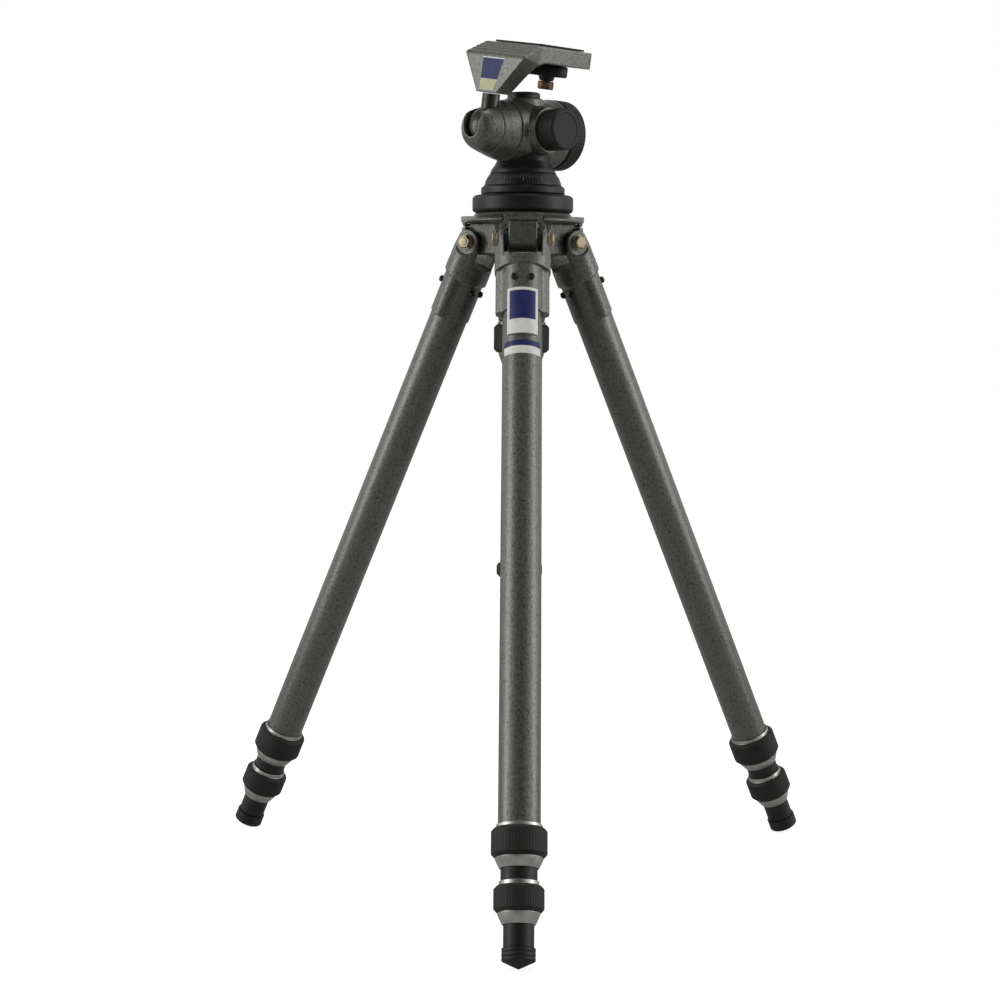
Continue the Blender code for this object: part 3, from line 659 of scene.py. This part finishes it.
def housing_outline(extra=0.0):
    """The barrel's outer profile as (radius, distance from the ball's centre)."""
    dome = [(0, -17.5), (4.0, -17.35), (7.8, -16.7), (11.4, -15.0), (14.0, -12.4), (15.6, -9.0)]
    flank = [(17.0, -4.5), (18.3, 0), (20.2, 7.0), (21.9, SEAM)]
    rear = [(23.2, 30.0), (23.8, 46.0), (24.6, 56.0), (25.6, 61.5), (25.6, 63.4)]
    return [(r + extra if r else 0, d) for r, d in dome + flank + rear]


def make_pan_base():
    """Black foot and graduated ring with plain ticks."""
    base = [(0, 512.6), (5.0, 512.6), (5.0, 501.2), (29.9, 501.2), (30.7, 502.2), (30.7, 506.2)]
    base += [(29.4, 507.6), (8.0, 507.6), (8.0, 520.0), (0, 520.0)]
    show(lathe("head_foot", base, TRIPOD, 128, 0.4), "column", "black_metal", "pan_base")
    ring = [(8.3, 507.9), (28.5, 507.9), (27.5, 510.8), (26.1, 513.8), (24.6, 516.6), (8.3, 516.6)]
    show(lathe("scale_ring", ring, TRIPOD, 128, 0.4), "column", "black_metal", "pan_scale_ring")
    ticks = bmesh.new()
    slant = Matrix.Rotation(math.radians(-25.0), 4, "Y")
    for i in range(RING_TICKS):
        if i % LONG_TICK_EVERY == 0:
            width, length, out, up = 0.5, 4.4, 26.75, 512.4
        else:
            width, length, out, up = 0.35, 2.4, 26.3, 513.4
        turn = Matrix.Rotation(math.tau * i / RING_TICKS, 4, "Z")
        size = Matrix.Diagonal((0.3 * MM, width * MM, length * MM, 1))
        spot = Matrix.Translation(Vector((out, 0, up)) * MM)
        tick = bmesh.ops.create_cube(ticks, size=1.0)["verts"]
        bmesh.ops.transform(ticks, matrix=turn @ spot @ slant @ size, verts=tick)
    show(to_object("scale_ticks", ticks, TRIPOD), "column", "black_metal", finish=TICK)


def make_saddle():
    """The dark neck, hollowed to the barrel's round underside."""
    neck = [(0, 516.9), (24.2, 516.9), (23.2, 519.7), (21.0, 522.7), (19.5, 525.6)]
    neck += [(18.9, 531.5), (0, 531.5)]
    saddle = lathe("saddle", neck, PAN, 128, 0.5)
    pocket = lathe("pocket", [(0, 510.0), (8.3, 510.0), (8.3, 520.4), (0, 520.4)], PAN, round_by=0)
    outline = housing_outline(0.3)
    outline = outline[:-1] + [(outline[-1][0], 70.0), (0, 70.0)]
    cut = lathe("cut", outline, BARREL, 128, 0)
    room = lathe("room", [(0, 5.0), (17.7, 5.0), (17.7, 40.0), (0, 40.0)], SIDE, 96, 0)
    settle(saddle, [("DIFFERENCE", pocket), ("DIFFERENCE", cut), ("DIFFERENCE", room)])
    show(saddle, "head_housing", "black_metal", "swivel_saddle")


def make_housing():
    """Front ball socket with its stem slot, and the barrel with the pan-lock boss."""
    points = housing_outline()
    seam_at = [d for _, d in points].index(SEAM)
    groove = [(17.95, -1.4), (17.5, -1.0), (17.5, -0.6), (18.15, -0.2)]
    nose = [point for point in points[:seam_at] if point[1] < -2.0]
    shell = nose + groove + [(18.3, 0.2), (20.2, 7.0), (21.7, SEAM - 0.7), (21.2, SEAM), (0, SEAM)]
    socket = lathe("front_socket", shell, BARREL, 128, 0.4)
    cavity = [(0, -SOCKET_R)] + arc(0, 0, SOCKET_R, -84, 0, 14) + [(SOCKET_R, 20.0), (0, 20.0)]
    slot = arc(0, 0, SLOT_HALF - 0.1, 4, 176, 24)
    wide = SLOT_HALF + 26.0 * math.tan(math.radians(9.6))
    slot += [(-SLOT_HALF, 0), (-wide, -26.0), (wide, -26.0), (SLOT_HALF, 0)]
    tools = [("DIFFERENCE", lathe("cavity", cavity, BARREL, 128, 0))]
    tools.append(("DIFFERENCE", prism("slot", slot, -26.0, 9.3, BARREL)))
    settle(socket, tools, voxel=0.4, smooth=1)
    show(socket, "head_housing", "hammertone", "ball_socket")

    shell = [(0, SEAM + 0.3), (21.3, SEAM + 0.3), (21.95, SEAM + 1.0)]
    shell += points[seam_at + 1:] + [(0, 63.4)]
    body = lathe("barrel", shell, BARREL, 128, 0.6)
    boss = [(0, 8.0), (17.2, 8.0), (17.2, 23.6), (16.4, 24.6), (16.4, 26.7), (0, 26.7)]
    bore = [(0, 10.0), (15.6, 10.0), (15.6, 50.0), (6.3, 50.0), (6.3, 70.0), (0, 70.0)]
    shaft = [(0, 12.0), (3.3, 12.0), (3.3, 40.0), (0, 40.0)]
    pocket = [(0, 565.2), (12.3, 565.2), (12.3, 590.0), (0, 590.0)]
    seat = [(0, 560.0), (15.2, 560.0), (14.6, 570.0), (13.8, 571.0), (0, 571.0)]
    tools = [("UNION", lathe("boss", boss, SIDE, 96, 0.4))]
    tools.append(("UNION", lathe("seat", seat, PAN, 96, 0.4)))
    tools.append(("DIFFERENCE", lathe("bore", bore, BARREL, 96, 0)))
    tools.append(("DIFFERENCE", lathe("shaft", shaft, SIDE, 48, 0)))
    tools.append(("DIFFERENCE", lathe("pocket", pocket, PAN, 96, 0)))
    settle(body, tools, voxel=0.5, smooth=2)
    show(body, "head_housing", "hammertone", "barrel_body")


def make_inside():
    """Brake cup, thrust pin and the ball with its stem."""
    seat = [(y, x) for x, y in arc(0, 0, 15.5, 56, 8, 12)]
    cup = [(0, 23.6), (15.2, 23.6), (15.2, seat[0][1])] + seat + [(0, 15.5)]
    show(lathe("cup", cup, BARREL, 96, 0.1), "ball_brake", "brass", "brake_cup")
    pin = [(0, 24.0), (9.0, 24.0), (9.0, 35.6), (0, 35.6)]
    show(lathe("pin", pin, BARREL, 48, 0.4), "head_housing", "aluminium", "thrust_pin")
    top = math.degrees(math.acos(STEM_R / BALL_R))
    stem = [(0, -BALL_R)] + arc(0, 0, BALL_R, -84, top, 30) + [(STEM_R, 25.0), (0, 25.0)]
    ball = lathe("ball_and_stem", stem, BALL, 96, 0.15)
    show(ball, "ball", "aluminium", "ball_stem", finish=STEEL)


def make_knobs():
    """Rear ball lock and side pan lock: black knobs with finely ribbed rims."""
    knob = [(0, 36.0), (6.0, 36.0), (6.0, 64.2), (24.2, 64.2), (25.7, 65.8), (25.7, 67.0), (25.7, 76.4)]
    knob += [(25.7, 77.4), (23.3, 80.0), (17.0, 80.0), (16.4, 79.4), (0, 79.4)]
    rear = lathe("rear_knob", knob, BARREL, 288, 0.5, ribs(60, 0.25, 65.9, 77.3, 25.0))
    show(rear, "ball_lock", "black_metal", "ball_lock_knob", finish=FINISH["rubber"])
    knob = [(0, 17.0), (3.0, 17.0), (3.0, 27.0), (14.0, 27.0), (15.0, 28.2), (15.0, 29.5), (15.0, 40.0)]
    knob += [(15.0, 41.1), (13.6, 42.5), (11.8, 42.5), (11.4, 42.1), (0, 42.1)]
    side = lathe("side_knob", knob, SIDE, 240, 0.4, ribs(48, 0.15, 28.6, 40.6, 14.6))
    show(side, "pan_lock", "black_metal", "pan_lock_knob", finish=FINISH["rubber"])


def make_level():
    """Round bubble level: black case, fluid dome, centre ring and bubble."""
    case = [(0, 565.5), (12.0, 565.5), (12.0, 574.4), (11.0, 575.4), (9.3, 575.4)]
    case += [(9.3, 570.8), (0, 570.8)]
    show(lathe("level_cup", case, PAN, 96, 0.4), "head_housing", "black_metal", "level_case")
    dome = [(0, 571.1), (9.0, 571.1), (9.0, 574.2), (6.0, 574.7), (3.0, 574.85), (0, 574.9)]
    show(lathe("level_dome", dome, PAN, 96, 0.2), "head_housing", "level_glass", "level_vial")
    ring = [(3.2, 574.7), (3.6, 574.7), (3.6, 575.05), (3.2, 575.05)]
    show(lathe("level_ring", ring, PAN, 64, 0.1), "head_housing", "black_metal")
    bubble = [(0, 574.6), (2.3, 574.7), (2.0, 575.0), (1.1, 575.2), (0, 575.25)]
    place = PAN @ Matrix.Translation((0.6 * MM, 0.4 * MM, 0))
    show(lathe("level_bubble", bubble, place, 48, 0.2), "head_housing", "level_glass", finish=CREAM)


def make_platform():
    """The raked platform casting, its rubber pad and the ribbed ramp in front of the pad."""
    under = [(8.4, PLATE_LOW), (10.4, 31.0), (12.0, 37.0), (13.8, 42.5), (16.4, 46.8), (19.8, 49.3)]
    profile = [FACE_LOW] + under + [(24.5, PLATE_BOTTOM), (73.0, PLATE_BOTTOM), (73.0, PLATE_TOP)]
    profile += [RAMP_TOP, RAMP_LOW, FACE_TOP]
    platform = prism("platform", soften(profile, 1.2, True), -32.0, 32.0, BALL, "X")
    taper = [(z, x) for x, z in mirrored([(10.5, 20.0), (10.5, 26.3), (29.9, 52.4), (29.9, 75.0)])]
    plan = mirrored([(29.9, -20.0), (29.9, 0.5), (27.4, 17.0), (27.0, 71.0), (25.2, 73.0)])
    hole = [(x, y + SCREW_AT) for x, y in arc(0, 0, 3.57, 0, 350, 35)]
    tools = [("INTERSECT", prism("taper", taper, -40.0, 90.0, BALL, "Y"))]
    tools.append(("INTERSECT", prism("plan", soften(plan, 1.5, True), 0.0, 90.0, BALL)))
    tools.append(("DIFFERENCE", prism("hole", hole, 40.0, 80.0, BALL)))
    slope = (Vector(RAMP_TOP) - Vector(RAMP_LOW)).normalized()
    for i in range(4):
        at = Vector(RAMP_LOW) + slope * (3.4 + 3.8 * i)
        groove = arc(at.x, at.y + 0.25, 0.75, 0, 345, 23)
        tools.append(("DIFFERENCE", prism("groove", groove, -40.0, 40.0, BALL, "X")))
    settle(platform, tools, voxel=0.55, smooth=2)
    show(platform, "platform", "hammertone", "camera_platform")

    corners = []
    for x, y, start in ((21.5, 64.0, 0), (-21.5, 64.0, 90), (-21.5, 24.0, 180), (21.5, 24.0, 270)):
        corners += arc(x, y, 3.0, start, start + 90, 8)
    pad = prism("pad", corners, 62.5, 63.8, BALL, edge=0.3)
    wide = [(x, y + SCREW_AT) for x, y in arc(0, 0, 4.4, 0, 350, 35)]
    tools = [("DIFFERENCE", prism("hole", wide, 60.0, 70.0, BALL))]
    for i in range(-5, 6):
        groove = arc(i * 4.0, 64.0, 0.5, 0, 330, 11)
        groove = [(z, x) for x, z in groove]
        tools.append(("DIFFERENCE", prism("groove", groove, 22.5, 65.5, BALL, "Y")))
    settle(pad, tools)
    show(pad, "platform", "rubber", "camera_pad")


def make_platform_label():
    """A plain three-tone label on the raked front face."""
    foot, head = Vector((0, *FACE_LOW)), Vector((0, *FACE_TOP))
    rise = (head - foot).normalized()
    face = BALL @ axes(foot * MM, (1, 0, 0), Vector((1, 0, 0)).cross(rise))

    def patch(name, low, high, half_low, half_high, lift, finish):
        """A tapered film on the face between two heights."""
        outline = [(half_low, low), (half_high, high), (-half_high, high), (-half_low, low)]
        piece = prism(name, soften(outline, 0.4, True), lift - 0.25, lift, face)
        show(piece, "platform", "hammertone", finish=finish)

    patch("plate_label", 2.2, 25.6, 7.1, 10.7, 0.12, WHITE)
    patch("plate_label_blue", 9.9, 24.8, 8.2, 10.4, 0.22, BLUE)
    patch("plate_label_cream", 2.5, 9.5, 7.0, 8.0, 0.22, CREAM)


def make_camera_screw():
    """Three-lobed lock knob and the knurled brass camera screw."""
    lobes = []
    for i in range(120):
        angle = math.tau * i / 120
        radius = 15.1 + 1.9 * math.cos(3 * angle)
        lobes.append((radius * math.cos(angle), radius * math.sin(angle)))
    knob = prism("lobed_knob", lobes, 42.2, PLATE_BOTTOM - 0.3, SCREW, edge=1.4)
    neck = lathe("neck", [(0, 38.9), (5.0, 38.9), (6.6, 43.5), (0, 43.5)], SCREW, 64, 0.4)
    bore = lathe("bore", [(0, 30.0), (3.47, 30.0), (3.47, 60.0), (0, 60.0)], SCREW, 64, 0)
    settle(knob, [("UNION", neck), ("DIFFERENCE", bore)])
    show(knob, "screw_lock", "black_metal", "screw_lock_knob")
    screw = [(0, 32.6), (5.2, 32.6), (5.85, 33.4), (5.85, 33.6), (5.85, 37.4), (5.85, 37.8), (5.2, 38.6)]
    screw.append((THREAD_TOP_R, 38.6))
    for turn in range(THREAD_TURNS):
        z = THREAD_START + turn
        screw += [(THREAD_TOP_R, z), (THREAD_ROOT_R, z + 0.5)]
    screw += [(3.1, 62.7), (2.5, 63.4), (0, 63.4)]
    piece = lathe("brass_screw", screw, SCREW, 144, 0.12, ribs(36, 0.35, 33.5, 37.7, 5.6))
    show(piece, "screw", "brass", "camera_screw")


# ---------------------------------------------------------------- camera, floor and light

def make_camera():
    """The camera looks along +Y, a little below the head, tipped down slightly."""
    data = bpy.data.cameras.new("camera")
    data.sensor_width = 36.0
    data.lens = 75.5
    camera = bpy.data.objects.new("camera", data)
    camera.location = Vector((AXIS.x - 0.0116, AXIS.y - 1.551, 0.4057))
    camera.rotation_euler = (math.radians(85.26), math.radians(-0.5), math.radians(0.16))
    bpy.context.scene.collection.objects.link(camera)
    bpy.context.scene.camera = camera


def area_light(name, at, size, power):
    """A soft rectangular light aimed at the middle of the tripod."""
    data = bpy.data.lights.new(name, "AREA")
    data.shape = "RECTANGLE"
    data.size, data.size_y = size
    data.energy = power
    light = bpy.data.objects.new(name, data)
    light.location = at
    light.rotation_euler = (LIGHT_TARGET - Vector(at)).to_track_quat("-Z", "Y").to_euler()
    bpy.context.scene.collection.objects.link(light)


def make_world():
    """White to the eye; as light, bright at the sides and behind and dim in front."""
    world = bpy.data.worlds.new("studio")
    world.use_nodes = True
    nodes, links = world.node_tree.nodes, world.node_tree.links
    coords = nodes.new("ShaderNodeTexCoord")
    parts = nodes.new("ShaderNodeSeparateXYZ")
    links.new(coords.outputs["Generated"], parts.inputs["Vector"])
    sides = nodes.new("ShaderNodeMath")
    sides.operation = "ABSOLUTE"
    links.new(parts.outputs["X"], sides.inputs[0])
    bright = nodes.new("ShaderNodeMapRange")
    bright.interpolation_type = "SMOOTHSTEP"
    for socket, value in (("From Min", 0.35), ("From Max", 0.8), ("To Min", 0.1), ("To Max", 0.95)):
        bright.inputs[socket].default_value = value
    links.new(sides.outputs[0], bright.inputs["Value"])
    behind = nodes.new("ShaderNodeMapRange")
    for socket, value in (("From Min", 0.1), ("From Max", 0.9), ("To Min", 0.0), ("To Max", 0.6)):
        behind.inputs[socket].default_value = value
    links.new(parts.outputs["Y"], behind.inputs["Value"])
    total = nodes.new("ShaderNodeMath")
    total.operation = "MAXIMUM"
    links.new(bright.outputs["Result"], total.inputs[0])
    links.new(behind.outputs["Result"], total.inputs[1])
    seen = nodes.new("ShaderNodeLightPath")
    choose = nodes.new("ShaderNodeMix")
    choose.data_type = "FLOAT"
    links.new(seen.outputs["Is Camera Ray"], choose.inputs["Factor"])
    links.new(total.outputs[0], choose.inputs["A"])
    choose.inputs["B"].default_value = 1.0
    links.new(choose.outputs["Result"], nodes["Background"].inputs["Strength"])
    nodes["Background"].inputs["Color"].default_value = (1, 1, 1, 1)
    bpy.context.scene.world = world


def make_studio():
    """A pale glowing floor, a tall soft light on each side and one overhead."""
    bm = bmesh.new()
    bmesh.ops.create_grid(bm, x_segments=1, y_segments=1, size=12.0)
    floor = to_object("floor", bm, Matrix.Translation((0, 0, -0.0006)))
    more = {"Emission_Color": (1, 1, 1, 1), "Specular_IOR_Level": 0.1}
    material, tree, shader = shader_material("floor_paper", (0.4, 0.4, 0.4), 0.9, 0.0, **more)
    seen = tree.nodes.new("ShaderNodeLightPath")
    glow = spread(tree, seen.outputs["Is Camera Ray"], 0.08, 0.85)
    tree.links.new(glow, shader.inputs["Emission Strength"])
    floor.data.materials.append(material)
    area_light("left_light", (-1.7, -0.35, 0.75), (0.8, 1.7), 14)
    area_light("right_light", (1.7, -0.2, 0.75), (0.8, 1.7), 12)
    area_light("top_light", (0.0, 0.1, 2.2), (1.2, 1.2), 12)
    make_world()
    bpy.context.scene.view_settings.view_transform = "Standard"


make_camera()
make_studio()
for leg in LEGS:
    make_leg_top(leg)
    make_leg_screws(leg)
    make_tube(f"upper_section_{leg}", f"upper_tube_{leg}", UPPER_R, UPPER_TOP, LOCK_1[4], leg,
              f"leg_{leg}", "hammertone")
    make_lock(leg, "upper", LOCK_1, UPPER_R, MID_R, UPPER_GRIP_R, f"upper_lock_{leg}")
    make_tube(f"middle_section_{leg}", f"middle_tube_{leg}", MID_R, MID_TOP, LOCK_2[4], leg,
              f"middle_{leg}", "black_metal", GUIDE_SHOULDER)
    make_lock(leg, "lower", LOCK_2, MID_R, LOWER_R, LOWER_GRIP_R, f"lower_lock_{leg}")
    make_tube(f"lower_section_{leg}", f"lower_tube_{leg}", LOWER_R, LOWER_TOP, FOOT_TOP - 0.3, leg,
              f"lower_{leg}", "black_metal", GUIDE_SHOULDER)
    make_foot(leg)
    make_hinge_hardware(leg)
    make_stop_tab(leg)
make_leg_labels()
make_spider()
make_column()
make_pan_base()
make_saddle()
make_housing()
make_inside()
make_knobs()
make_level()
make_platform()
make_platform_label()
make_camera_screw()

bpy.context.view_layer.update()
